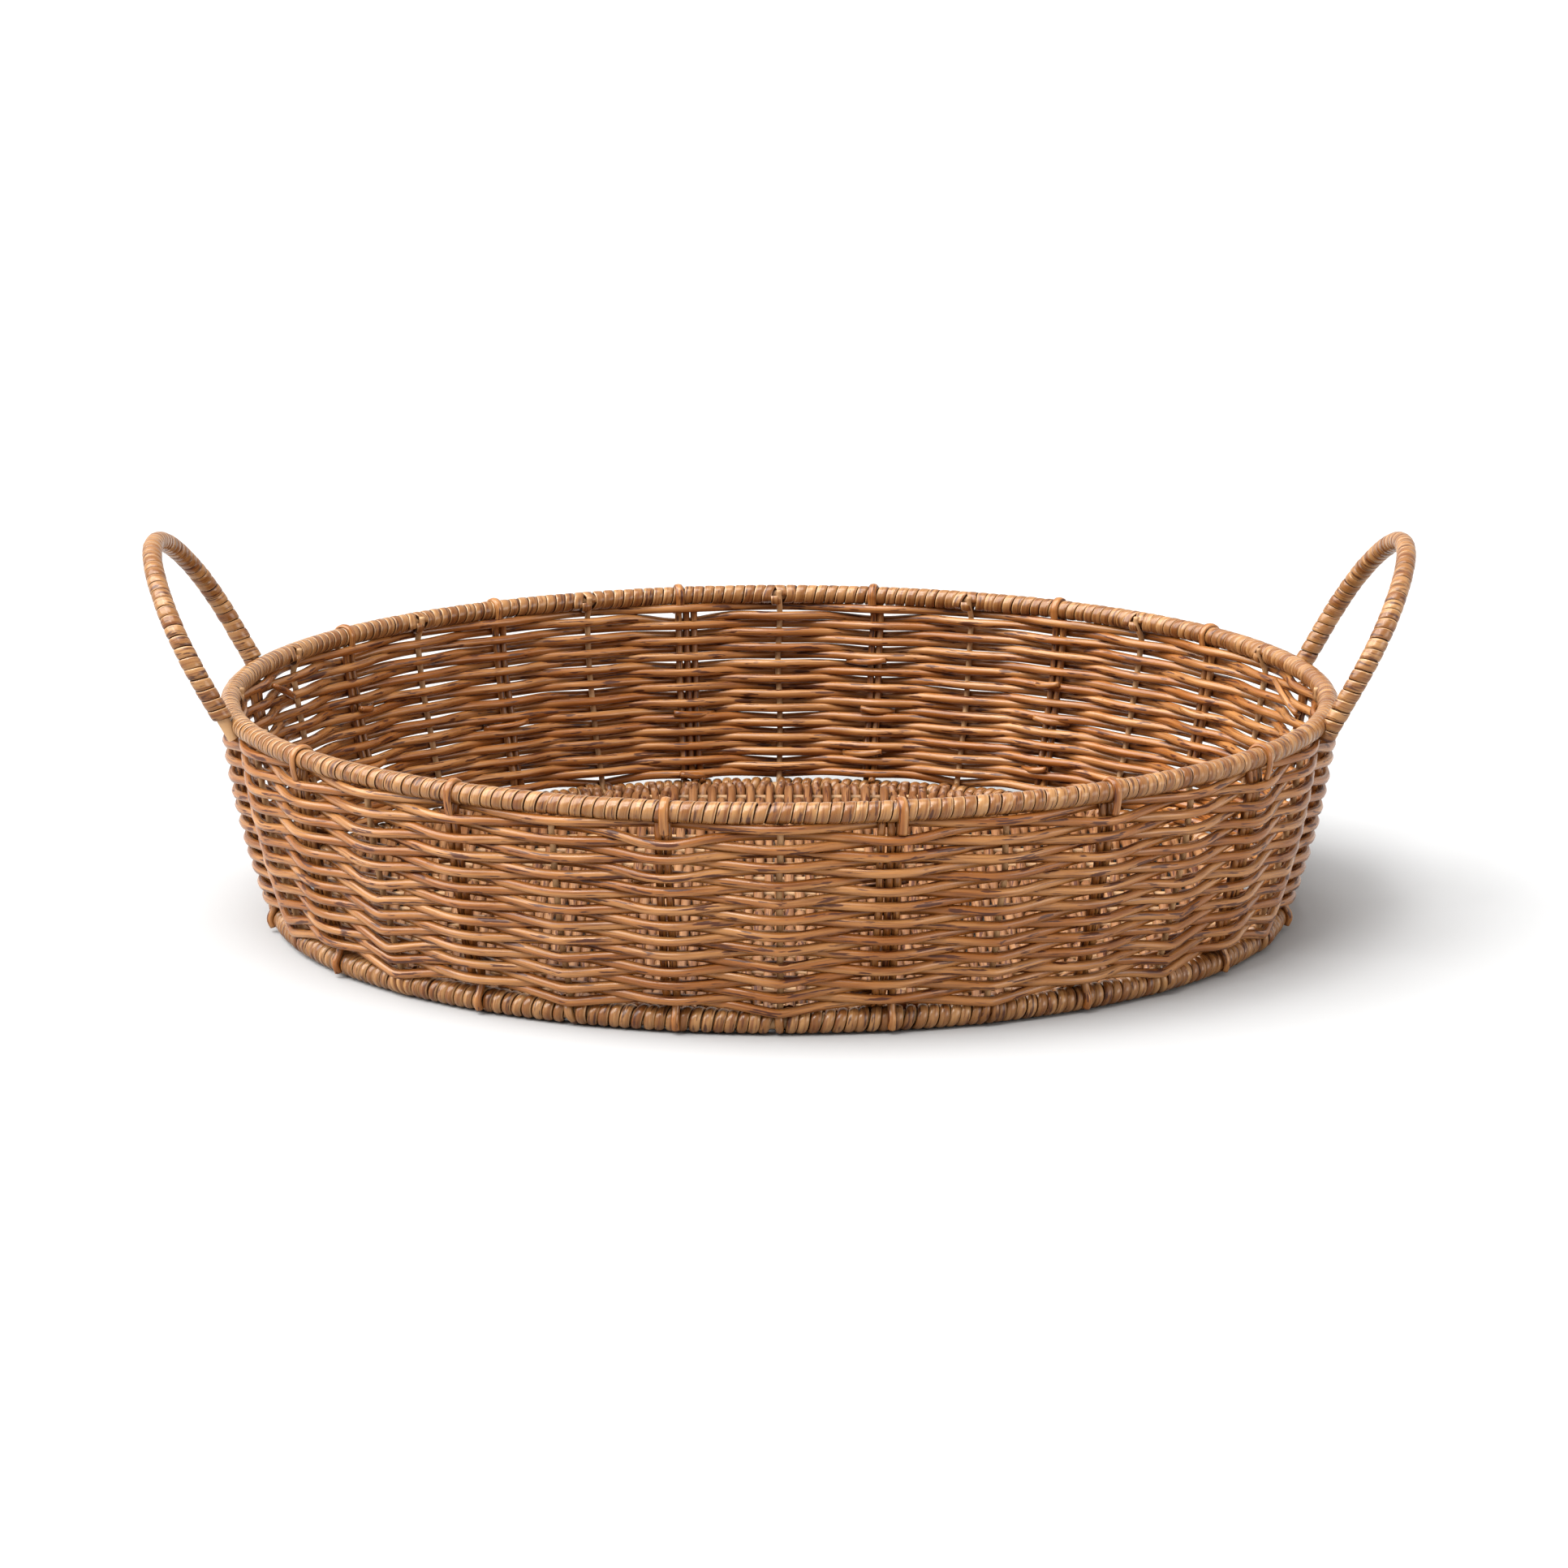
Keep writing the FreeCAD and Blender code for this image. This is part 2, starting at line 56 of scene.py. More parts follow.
class Shade:
    """A socket of a material. Arithmetic on it adds Math nodes."""

    def __init__(self, tree, socket=None):
        self.tree = tree
        self.socket = socket

    def node(self, kind, settings, inputs, output=0):
        """Adds a node of any kind, with its settings and the values or links of its sockets."""
        made = self.tree.nodes.new(kind)
        for name, value in settings.items():
            setattr(made, name, value)
        for name, value in inputs.items():
            if isinstance(value, Shade):
                self.tree.links.new(value.socket, made.inputs[name])
            else:
                made.inputs[name].default_value = value
        return Shade(self.tree, made.outputs[output])

    def maths(self, operation, first, second=0.0):
        return self.node("ShaderNodeMath", {"operation": operation}, {0: first, 1: second})

    def __add__(self, other):
        return self.maths("ADD", self, other)

    def __sub__(self, other):
        return self.maths("SUBTRACT", self, other)

    def __rsub__(self, other):
        return self.maths("SUBTRACT", other, self)

    def __mul__(self, other):
        return self.maths("MULTIPLY", self, other)

    __radd__ = __add__
    __rmul__ = __mul__

    def step(self, low, high):
        """0 below low, 1 above high, smooth between."""
        return self.node(
            "ShaderNodeMapRange", {"interpolation_type": "SMOOTHSTEP"},
            {"Value": self, "From Min": low, "From Max": high},
        )

    def speckle(self, place, size, detail=2.0):
        """Noise whose grains are about that size, in metres."""
        return self.node(
            "ShaderNodeTexNoise", {}, {"Vector": place, "Scale": 0.5 / size, "Detail": detail}
        )

    def relief(self, strength, depth):
        """A bump whose height is this pattern."""
        return self.node(
            "ShaderNodeBump", {}, {"Strength": strength, "Distance": depth, "Height": self}
        )

    def blend(self, amount, first, second):
        """A colour between two colours."""
        colours = [c if isinstance(c, Shade) else (*c, 1) for c in (first, second)]
        return self.node(
            "ShaderNodeMix", {"data_type": "RGBA"}, {0: amount, 6: colours[0], 7: colours[1]}, output=2
        )

    def axis(self, letter):
        return self.node("ShaderNodeSeparateXYZ", {}, {0: self}, output="XYZ".index(letter))


def new_material(name):
    """A material, its shader node, and a Shade to start its pattern from."""
    material = bpy.data.materials.new(name)
    material.use_nodes = True
    tree = material.node_tree
    return material, tree.nodes["Principled BSDF"], Shade(tree)


def connect(shader, **links):
    """Joins a Shade to each named socket of the shader, or sets the number there."""
    for name, value in links.items():
        socket = shader.inputs[name.replace("_", " ")]
        if isinstance(value, Shade):
            value.tree.links.new(value.socket, socket)
        else:
            socket.default_value = value


def iron_paint():
    """Thin tan paint on iron: darker and paler patches, with pale grit standing out of it."""
    material, shader, start = new_material("iron_paint")
    place = start.node("ShaderNodeTexCoord", {}, {}, output=3)
    patches = start.speckle(place, 6 * MM)
    grit = start.speckle(place, 0.5 * MM)
    colour = start.blend(patches.step(0.35, 0.65), (0.30, 0.160, 0.070), (0.48, 0.290, 0.145))
    colour = start.blend(grit.step(0.62, 0.72), colour, (0.46, 0.31, 0.17))
    bump = grit.relief(0.25, 0.1 * MM)
    connect(shader, Base_Color=colour, Roughness=0.42 + patches * 0.25, Normal=bump)
    return material


iron = iron_paint()


def ring_of(node_name):
    """Radius of a level ring wire, its height, and its wire's radius."""
    low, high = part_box(node_name)
    wire = (high.z - low.z) / 2
    return high.x - wire, (high.z + low.z) / 2, wire


rim_radius, rim_height, rim_wire = ring_of("rim_ring")
base_radius, base_height, base_wire = ring_of("base_ring")
wall_bulge = 2.87 * MM


def wall(height):
    """Distance of the wall's middle from the basket's axis."""
    share = (height - base_height) / (rim_height - base_height)
    return base_radius + (rim_radius - base_radius) * share + 4 * wall_bulge * share * (1 - share)


def around(angle, radius, height):
    """A place round the basket's axis."""
    return Vector((radius * math.cos(angle), radius * math.sin(angle), height))


def wobble(seed, place):
    """A smooth, repeatable wander between about -1 and 1."""
    return 2 * noise.noise(Vector((place, 7.3 * seed, 1.9)))


def finish_piece(piece, name, material):
    """Gives a piece its name and material, and its body."""
    piece.name = name
    piece.data.name = name
    piece.data.materials.clear()
    piece.data.materials.append(material)
    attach(piece, "root")


tight_bend = 0.4


def bent_rod(route, thickness, rings, swell=None, closed=False, shift=0.0, bends=()):
    """
    A round rod bent along a route, more sharply at the points numbered in bends. Its UV map runs in
    metres along it and once round it.
    """
    bpy.ops.object.select_all(action="DESELECT")
    if closed:
        bpy.ops.curve.primitive_bezier_circle_add(radius=base_radius)
        cuts = len(route) // 4 - 1
    else:
        bpy.ops.curve.primitive_bezier_curve_add(radius=base_radius)
        cuts = len(route) - 2
    rod = bpy.context.object
    bpy.ops.object.mode_set(mode="EDIT")
    bpy.ops.curve.select_all(action="SELECT")
    if cuts:
        bpy.ops.curve.subdivide(number_cuts=cuts)
    bpy.ops.object.mode_set(mode="OBJECT")
    for index, (point, place) in enumerate(zip(rod.data.splines[0].bezier_points, route)):
        point.co = place
        point.radius = swell[index] if swell else 1.0
    bpy.ops.object.mode_set(mode="EDIT")
    bpy.ops.curve.handle_type_set(type="AUTOMATIC")
    bpy.ops.object.mode_set(mode="OBJECT")
    points = rod.data.splines[0].bezier_points
    for index in bends:
        point = points[index]
        left = point.handle_left - point.co
        right = point.handle_right - point.co
        point.handle_left_type = "FREE"
        point.handle_right_type = "FREE"
        point.handle_left = point.co + left * tight_bend
        point.handle_right = point.co + right * tight_bend
    length = rod.data.splines[0].calc_length()
    rod.data.bevel_depth = thickness / 2
    rod.data.bevel_resolution = 2
    rod.data.resolution_u = rings
    rod.data.use_fill_caps = not closed
    bpy.ops.object.convert(target="MESH")
    bpy.ops.object.mode_set(mode="EDIT")
    bpy.ops.mesh.select_all(action="SELECT")
    bpy.ops.mesh.remove_doubles(threshold=0.001 * MM)
    bpy.ops.mesh.faces_shade_smooth()
    bpy.ops.object.mode_set(mode="OBJECT")
    scale_uv(rod.data, length, shift)
    return rod


def scale_uv(mesh, length, shift):
    """Turns a UV map that runs 0 to 1 along a piece into metres, starting at shift."""
    layer = mesh.uv_layers[0].data
    values = np.zeros(len(layer) * 2, np.float32)
    layer.foreach_get("uv", values)
    values[0::2] = values[0::2] * length + shift
    layer.foreach_set("uv", values)


for node_name in ("rim_ring", "base_ring", "floor_bars", "handle_wire_right", "handle_wire_left"):
    wire_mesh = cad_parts[node_name].data
    wire_mesh.materials.clear()
    wire_mesh.materials.append(iron)

rib_count = 16
rib_step = TURN / rib_count
rib_wire = 2.6 * MM
rib_rises = [rise * MM for rise in (0, 10, 25, 40, 55, 70, 77.5)]
rib_sway = 0.5 * MM
rib_end_rise = 2.5 * MM


def rib_route(number, angle):
    """Up the wall from the base ring, then past the inner side of the rim ring, to the rim's top."""
    route = []
    for rise in rib_rises:
        height = base_height + rise
        sway = rib_sway * wobble(number, height * 40) / wall(height)
        route.append(around(angle + sway, wall(height), height))
    beside_ring = rim_radius - rim_wire - rib_wire / 2
    route.append(around(angle, beside_ring + 0.3 * MM, rim_height - 1.5 * MM))
    route.append(around(angle, beside_ring, rim_height + rib_end_rise))
    return route


for number in range(rib_count):
    rib = bent_rod(rib_route(number, number * rib_step), rib_wire, 4)
    finish_piece(rib, f"rib_{number + 1:02d}", iron)
    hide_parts(f"rib_wire_{number + 1:02d}")


# ---- Floor ----
# Round rattan rods laid side by side from front to back, each over and under the floor bars in turn.
# Their cut ends stand up in a row just inside the base ring, like fingers.

def cane(name, colours, fleck, gloss):
    """Peeled rattan: fine grain along the rod, paler and darker stretches, long red-brown flecks."""
    material, shader, start = new_material(name)
    uv = start.node("ShaderNodeUVMap", {}, {})
    along = uv.axis("X")
    turn = uv.axis("Y") * TURN
    skin_radius = 1.7 * MM

    def drawn_out(stretch):
        """A place on the rod's skin, with everything drawn out along the rod."""
        beside = start.maths("COSINE", turn) * skin_radius
        above = start.maths("SINE", turn) * skin_radius
        return start.node(
            "ShaderNodeCombineXYZ", {}, {0: along * (1 / stretch), 1: beside, 2: above}
        )

    pale, middle, deep = colours
    stretches = start.speckle(drawn_out(12), 2.2 * MM)
    grain = start.speckle(drawn_out(30), 0.22 * MM, 3.0)
    streaks = start.speckle(drawn_out(22), 0.55 * MM)
    marks = start.speckle(drawn_out(9), 0.75 * MM, 3.0)
    colour = start.blend(stretches.step(0.36, 0.66), middle, pale)
    colour = start.blend(streaks.step(0.50, 0.70) * 0.55, colour, deep)
    colour = start.blend(grain.step(0.45, 0.75) * 0.55, colour, deep)
    flecks = (marks * 0.8 + grain * 0.2).step(0.570, 0.595)
    colour = start.blend(flecks * 0.9, colour, fleck)
    bump = (grain * 0.6 + streaks * 0.4 - flecks * 0.5).relief(0.5, 0.12 * MM)
    connect(shader, Base_Color=colour, Roughness=gloss + grain * 0.22 + flecks * 0.1, Normal=bump)
    return material


honey = ((0.385, 0.185, 0.066), (0.265, 0.098, 0.022), (0.095, 0.025, 0.005))
# The floor rods are the same rattan as the other rods, given darker colours: painted shade for the shadow
# on the floor inside the basket.
honey_in_painted_shade = ((0.29, 0.145, 0.062), (0.20, 0.085, 0.030), (0.09, 0.028, 0.008))
red_brown = (0.060, 0.013, 0.004)
rod_cane = cane("rod_cane", honey, red_brown, 0.16)
floor_cane_in_painted_shade = cane("floor_cane_in_painted_shade", honey_in_painted_shade, red_brown, 0.30)

floor_rod = 4.35 * MM
floor_pitch = 4.25 * MM
bars_each_side = 7
bar_pitch = 26.5 * MM
bar_wire = 3.0 * MM
bar_gap = 0.02 * MM
ground_gap = 0.15 * MM
over_bar = (floor_rod + bar_wire) / 2 + bar_gap
under_bar = base_height - floor_rod / 2 - ground_gap
floor_reach = base_radius - base_wire - 4.3 * MM
cut_end_share = 0.6


def floor_route(number, across):
    """One floor rod, from the front end to the back end."""
    half = math.sqrt(floor_reach ** 2 - across ** 2)
    cut = random.Random(number + 900)

    def standing_end(side):
        """The end at the front (-1) or the back (1), bent up inside the base ring to its tip."""
        lean = cut.uniform(-2.6, 2.6) * MM
        tip = cut.uniform(1.5, 5.5) * MM
        return [
            Vector((across, side * (half - 3.5 * MM), base_height + 0.5 * MM)),
            Vector((across + lean * 0.5, side * half, base_height + 2.5 * MM)),
            Vector((across + lean, side * (half + 1.0 * MM), base_height + tip)),
            Vector((across + lean, side * (half + 1.2 * MM), base_height + tip + 0.7 * MM)),
        ]

    route = standing_end(-1)[::-1]
    for bar in range(-bars_each_side, bars_each_side + 1):
        if abs(bar * bar_pitch) < half - 7 * MM:
            passes_over = (bar + number) % 2 == 0
            level = base_height + (over_bar if passes_over else -under_bar)
            route.append(Vector((across, bar * bar_pitch, level)))
    return route + standing_end(1)


def join(pieces):
    """Makes one piece of many."""
    bpy.ops.object.select_all(action="DESELECT")
    for piece in pieces:
        piece.select_set(True)
    bpy.context.view_layer.objects.active = pieces[0]
    bpy.ops.object.join()
    return bpy.context.object


floor_rods = []
rods_each_side = int((floor_reach - 4 * MM) / floor_pitch)
for number in range(-rods_each_side, rods_each_side + 1):
    route = floor_route(number, number * floor_pitch)
    girth = random.Random(number + 400).uniform(0.92, 1.03)
    cut_girth = cut_end_share * girth
    swell = [cut_girth] + [girth] * (len(route) - 2) + [cut_girth]
    floor_rods.append(bent_rod(route, floor_rod, 4, swell, shift=0.37 * number))
floor_weave = join(floor_rods)
finish_piece(floor_weave, "floor_rods", floor_cane_in_painted_shade)
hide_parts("floor_weave")


# ---- Stakes ----
# Pairs of upright rattan rods halfway between the ribs, which the rows are woven round. One rod of each
# pair is bent down over the winding of the base ring at its foot. A few pairs have a third rod.

stake_rod = 3.2 * MM
stake_aside = 1.75 * MM
stake_sway = 0.45 * MM
base_wrap = base_wire + 2.0 * MM
pair_angles = [(number + 0.5) * rib_step for number in range(rib_count)]
side_names = ("right", "rear", "left", "front")
pairs_with_third = (4, 7, 9, 12, 14)


def stake_route(number, angle, aside, foot_outside):
    """From the foot, over the base ring or just inside it, up the wall to just below the rim."""
    route = []
    if foot_outside:
        beside = base_radius + base_wrap + stake_rod * 0.3
        route += [
            around(angle + aside / beside, beside - 1.2 * MM, base_height - 3.0 * MM),
            around(angle + aside / beside, beside, base_height + 0.5 * MM),
            around(angle + aside / beside, beside - 1.7 * MM, base_height + 4.6 * MM),
        ]
    else:
        inside = base_radius - base_wire
        route += [around(angle + aside / inside, inside, base_height + 4.5 * MM)]
    for rise in (9, 22, 36, 50, 64, 76):
        height = base_height + rise * MM
        sway = aside + stake_sway * wobble(number * 3 + aside / MM, rise * 0.08)
        route.append(around(angle + sway / wall(height), wall(height), height))
    top = rim_height - 4.2 * MM
    route.append(around(angle + aside / rim_radius, wall(top) - 0.8 * MM, top))
    return route


for side, side_name in enumerate(side_names):
    rods = []
    for number, angle in enumerate(pair_angles):
        quarter = int((angle / TURN * 4 + 0.5) % 4)
        if quarter != side:
            continue
        third = (-3 * stake_aside,) if number in pairs_with_third else ()
        for aside in (-stake_aside, stake_aside) + third:
            route = stake_route(number, angle, aside, foot_outside=aside > 0)
            rods.append(bent_rod(route, stake_rod, 5, shift=number * 0.7 + aside * 90))
    stakes = join(rods)
    finish_piece(stakes, f"stakes_{side_name}", rod_cane)
    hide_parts(f"stake_pairs_{side_name}")


# ---- Woven rows ----
# Twenty-three rattan rods woven round the wall: one row passes outside the ribs and inside the stake
# pairs, the next the other way. Where a rod passes outside an upright it sags a little below its level.

row_count = 23
row_points = 4 * rib_count
weave_rod = 3.9 * MM
inside_rise = 0.25 * MM
past_rib = (weave_rod + rib_wire) / 2
past_stake = (weave_rod + stake_rod) / 2
# Cosine of the wall's lean, since a rod passes an upright square to the wall and not level.
lean_cosine = 0.96
dips = random.Random(5)
rib_dip = [dips.uniform(1.2, 2.6) * MM for _ in range(rib_count)]
rear_ribs = range(2, 7)
rear_dip_share = 0.55
for rib in rear_ribs:
    rib_dip[rib] *= rear_dip_share
pair_dip = [dips.uniform(0.7, 1.7) * MM for _ in range(rib_count)]


def row_route(row):
    """
    One row's route, with a point at each upright and one halfway to the next, and the numbers of the
    points where the rod is bent sharply round a rib.
    """
    share = row / (row_count - 1)
    low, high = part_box(f"weaver_{row + 1:02d}")
    settled = 0.3 * share - 0.8 * (1 - share) - 1.9 * 4 * share * (1 - share)
    level = (low.z + high.z) / 2 + settled * MM
    outside_ribs = row % 2 == 0
    unsteady = random.Random(row)
    route = []
    bends = []
    for point in range(row_points):
        angle = math.pi - point * TURN / row_points
        wander = 0.3 * MM * wobble(row, point * 0.21)
        height = level + wander + unsteady.uniform(-0.15, 0.15) * MM
        upright = round(angle / (rib_step / 2)) % (2 * rib_count)
        reach = 0.0
        if point % 2 == 0:
            at_rib = upright % 2 == 0
            outside = at_rib == outside_ribs
            reach = (past_rib if at_rib else past_stake) / lean_cosine * (1 if outside else -1)
            if outside and at_rib:
                sag = rib_dip[upright // 2] * (1.6 - 1.3 * share)
                height -= sag * unsteady.uniform(0.75, 1.25)
                if share < unsteady.uniform(0.3, 0.8):
                    bends.append(point)
            elif outside:
                sag = pair_dip[upright // 2] * (0.8 + 0.8 * share ** 3)
                height -= sag * unsteady.uniform(0.6, 1.4)
            else:
                height += inside_rise
        route.append(around(angle, wall(height) + reach, height))
    return route, bends


for row in range(row_count):
    thickness = random.Random(row + 70)
    swell = [thickness.uniform(0.955, 1.03) for _ in range(row_points)]
    route, bends = row_route(row)
    rod = bent_rod(route, weave_rod, 8, swell, closed=True, shift=row * 1.618, bends=bends)
    finish_piece(rod, f"row_{row + 1:02d}", rod_cane)
    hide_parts(f"weaver_{row + 1:02d}")


# ---- Loose ends ----
# Where a woven rod ran out, its end was cut on the slant and left behind a stake on the inner side of
# the wall. Two longer ones were pushed up under the rim beside each handle.

inner_ends = random.Random(12)
skipped_share = 0.35
ends = []
for number, angle in enumerate(pair_angles):
    for height in (17 * MM, 40 * MM, 62 * MM):
        if inner_ends.random() < skipped_share:
            continue
        height += inner_ends.uniform(-6, 6) * MM
        run = inner_ends.uniform(9, 14) * MM * inner_ends.choice((-1, 1))
        behind = wall(height) - 5.6 * MM
        route = [
            around(angle - run / behind, wall(height) - 0.5 * MM, height - 0.6 * MM),
            around(angle - 0.2 * run / behind, behind, height),
            around(angle + 0.5 * run / behind, behind - 0.4 * MM, height + 1.2 * MM),
        ]
        shift = number * 0.41 + height * 90
        ends.append(bent_rod(route, stake_rod, 4, [0.95, 1.0, 0.8], shift=shift))
for angle in (-12, 15, 166, 193):
    place = math.radians(angle)
    route = [
        around(place - 0.10, wall(74 * MM) - 3.6 * MM, 74 * MM),
        around(place - 0.05, wall(78 * MM) - 6.0 * MM, 78 * MM),
        around(place + 0.02, wall(83 * MM) - 6.6 * MM, 83.5 * MM),
    ]
    ends.append(bent_rod(route, stake_rod, 4, [1.0, 1.0, 0.75], shift=angle * 0.1))
loose_ends = join(ends)
finish_piece(loose_ends, "loose_ends", rod_cane)


# ---- Rim winding ----
# Flat rattan strip with a domed face, wound side by side round the rim ring in lengths that stop at
# the ribs. At each stake pair, except beside the handle feet, a flattened rod is bent over the winding.

def split_cane(name):
    """Split rattan strip: the rod's glossy skin outside, and a thin pale line along one cut edge."""
    material, shader, start = new_material(name)
    uv = start.node("ShaderNodeUVMap", {}, {})
    along = uv.axis("X")
    across = uv.axis("Y")

    def drawn_out(stretch):
        """A place on the strip's face, with everything drawn out along the strip."""
        return start.node(
            "ShaderNodeCombineXYZ", {}, {0: along * (1 / stretch), 1: across, 2: along * 0.01}
        )

    clouds = start.speckle(drawn_out(4), 3.2 * MM)
    streaks = start.speckle(drawn_out(14), 0.55 * MM)
    grain = start.speckle(drawn_out(25), 0.2 * MM, 3.0)
    marks = start.speckle(drawn_out(6), 0.8 * MM, 3.0)
    # A tone that is the same right across the strip and changes slowly along it.
    along_only = start.node("ShaderNodeCombineXYZ", {}, {0: along * 0.1})
    lengths = start.speckle(along_only, 2.2 * MM, 1.0)
    colour = start.blend(clouds.step(0.35, 0.65), (0.210, 0.091, 0.027), (0.36, 0.193, 0.079))
    colour = start.blend(lengths.step(0.48, 0.66) * 0.55, colour, (0.15, 0.052, 0.012))
    colour = start.blend(streaks.step(0.48, 0.68) * 0.7, colour, (0.135, 0.042, 0.012))
    colour = start.blend(grain.step(0.45, 0.75) * 0.4, colour, (0.16, 0.052, 0.015))
    flecks = (marks * 0.8 + grain * 0.2).step(0.57, 0.62)
    colour = start.blend(flecks * 0.8, colour, (0.05, 0.013, 0.006))
    cut = (across * (1 / MM)).step(1.55, 1.75)
    colour = start.blend(cut * 0.6, colour, (0.45, 0.27, 0.13))
    # Both edges of the strip are darkened: painted shade for the shadow in the narrow gap between
    # neighbouring turns.
    gap_painted_shade = start.maths("ABSOLUTE", across * (1 / MM)).step(2.0, 2.14)
    colour = start.blend(gap_painted_shade * 0.9, colour, (0.05, 0.016, 0.006))
    bump = (grain * 0.6 + streaks * 0.4 - flecks * 0.4).relief(0.4, 0.1 * MM)
    connect(shader, Base_Color=colour, Roughness=0.17 + grain * 0.2 + flecks * 0.1, Normal=bump)
    return material


strip_width = 4.5 * MM
strip_cane = split_cane("strip_cane")


def wound_strip(path, length, turns, profile, bend, shift, turn_steps=18):
    """
    A strip wound round a wire. path(distance) gives the wire's middle and its two directions across;
    profile is the strip's section as (across, out) points, and bend(turn, angle) moves a point of the
    strip along the wire and out from it.
    """
    columns = turns * turn_steps
    bpy.ops.object.select_all(action="DESELECT")
    bpy.ops.mesh.primitive_grid_add(x_subdivisions=columns, y_subdivisions=len(profile))
    strip = bpy.context.object
    mesh = strip.data
    places = np.zeros((len(mesh.vertices), 3), np.float32)
    flat = np.zeros((len(mesh.vertices), 2), np.float32)
    pitch = length / turns
    corner = 0
    turn_length = TURN * profile[len(profile) // 2][1]
    width = profile[-1][0] - profile[0][0]
    for sideways, out in profile + profile[:1]:
        for column in range(columns + 1):
            angle = math.pi + TURN * column / turn_steps
            moved, lifted = bend(column / turn_steps, angle)
            middle, outward, upward = path(pitch * column / turn_steps + moved + sideways)
            out_by = (out + lifted) * math.cos(angle)
            up_by = (out + lifted) * math.sin(angle)
            places[corner] = middle + outward * out_by + upward * up_by
            along = turn_length * column / turn_steps + shift
            flat[corner] = (along, sideways / width * strip_width)
            corner += 1
    mesh.vertices.foreach_set("co", places.ravel())
    corners = np.zeros(len(mesh.loops), np.int32)
    mesh.loops.foreach_get("vertex_index", corners)
    mesh.uv_layers[0].data.foreach_set("uv", flat[corners].ravel())
    bpy.ops.object.mode_set(mode="EDIT")
    bpy.ops.mesh.select_all(action="SELECT")
    bpy.ops.mesh.remove_doubles(threshold=0.0005 * MM)
    bpy.ops.mesh.select_all(action="DESELECT")
    bpy.ops.mesh.select_non_manifold()
    bpy.ops.mesh.fill_holes(sides=0)
    bpy.ops.mesh.select_all(action="SELECT")
    bpy.ops.mesh.normals_make_consistent(inside=False)
    bpy.ops.mesh.faces_shade_smooth()
    bpy.ops.object.mode_set(mode="OBJECT")
    return strip


domed_face = (
    (-0.5, 0.0), (-0.5, 0.45), (-0.48, 0.74), (-0.43, 0.88), (-0.15, 1.0),
    (0.3, 1.0), (0.44, 0.93), (0.485, 0.78), (0.5, 0.5), (0.5, 0.0),
)


def strip_profile(width, inner, outer, shape=domed_face):
    """
    A strip's section. Its flat inner face lies at radius inner and its crown at outer, and shape gives
    its outline as shares of its width and of its thickness.
    """
    rise = outer - inner
    return [(across * width, inner + out * rise) for across, out in shape]


def ring_path(radius, height, start):
    """Follows a level ring anticlockwise from the angle start."""
    def path(distance):
        angle = start + distance / radius
        outward = Vector((math.cos(angle), math.sin(angle), 0))
        return outward * radius + Vector((0, 0, height)), outward, Vector((0, 0, 1))
    return path


def ring_lengths(radius, gap):
    """Start and end angle of each length of winding, which stops a gap short of the rib at each end."""
    for number in range(rib_count):
        yield number * rib_step + gap / radius, (number + 1) * rib_step - gap / radius


def hand_wound(seed, drift, tilt, lift, pace):
    """An uneven winding: the strip drifts along the wire, tilts on it and lifts off it a little."""
    def bend(turn, angle):
        tilted = tilt * wobble(seed + 40, turn * 1.3) * math.sin(angle)
        moved = drift * wobble(seed, turn * pace) + tilted
        return moved, lift * wobble(seed + 80, turn * (pace + 0.2))
    return bend


strip_pitch = 4.6 * MM
strip_gap = 0.07 * MM
rim_wrap = rim_wire + 1.7 * MM
rim_gap = 0.05 * MM
leaning_turns = 2.5
inner_lean = 1.5 * MM
outer_lean = 0.5 * MM
first_end_turns = 1.1
first_end_lift = 1.5 * MM
first_end_side = math.radians(218)


def rim_bend(number, turns):
    """Beside a rib the turns lean, to pass its end on the inner side. The strip's first end stands off."""
    uneven = hand_wound(number, 0.14 * MM, 0.12 * MM, 0.09 * MM, 0.6)

    def bend(turn, angle):
        moved, lifted = uneven(turn, angle)
        inner = max(0.0, -math.cos(angle)) ** 2
        after_rib = max(0.0, 1.0 - turn / leaning_turns)
        before_rib = max(0.0, 1.0 - (turns - turn) / leaning_turns)
        moved += inner_lean * inner * (after_rib - before_rib)
        moved += outer_lean * before_rib * (1 + math.sin(angle)) * (1 - inner)
        if turn < first_end_turns:
            lifted += first_end_lift * max(0.0, math.cos(angle - first_end_side)) ** 5
        return moved, lifted
    return bend


strips = []
for number, (start, end) in enumerate(ring_lengths(rim_radius, rim_gap)):
    length = (end - start) * rim_radius
    turns = round(length / strip_pitch)
    strips.append(wound_strip(
        ring_path(rim_radius, rim_height, start), length, turns,
        strip_profile(length / turns - strip_gap, rim_wire + 0.05 * MM, rim_wrap),
        rim_bend(number, turns), shift=number * 0.613,
    ))
rim_winding = join(strips)
finish_piece(rim_winding, "rim_winding", strip_cane)
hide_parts("rim_wrap")


tie_rod = 1.9 * MM
tie_width_share = 2.0
tie_gap = 0.35 * MM
pairs_beside_feet = (0, 7, 8, 15)


def rim_tie_route(angle):
    """From the top row, up inside the winding, over it, and down outside to the row below the top one."""
    reach = rim_wrap + tie_gap
    route = [around(angle, rim_radius - 3.3 * MM, rim_height - 7.0 * MM)]
    for turn in (200, 160, 115, 70, 30, -10):
        out_by = reach * math.cos(math.radians(turn))
        up_by = reach * math.sin(math.radians(turn))
        route.append(around(angle, rim_radius + out_by, rim_height + up_by))
    route.append(around(angle, rim_radius + 3.9 * MM, rim_height - 5.2 * MM))
    route.append(around(angle, rim_radius + 2.9 * MM, rim_height - 8.6 * MM))
    return route


def flatten_tie(tie, angle, width):
    """Widens a round rod sideways into a flattened one."""
    sideways = Vector((-math.sin(angle), math.cos(angle), 0))
    for vertex in tie.data.vertices:
        vertex.co += sideways * (vertex.co.dot(sideways) * (width - 1))


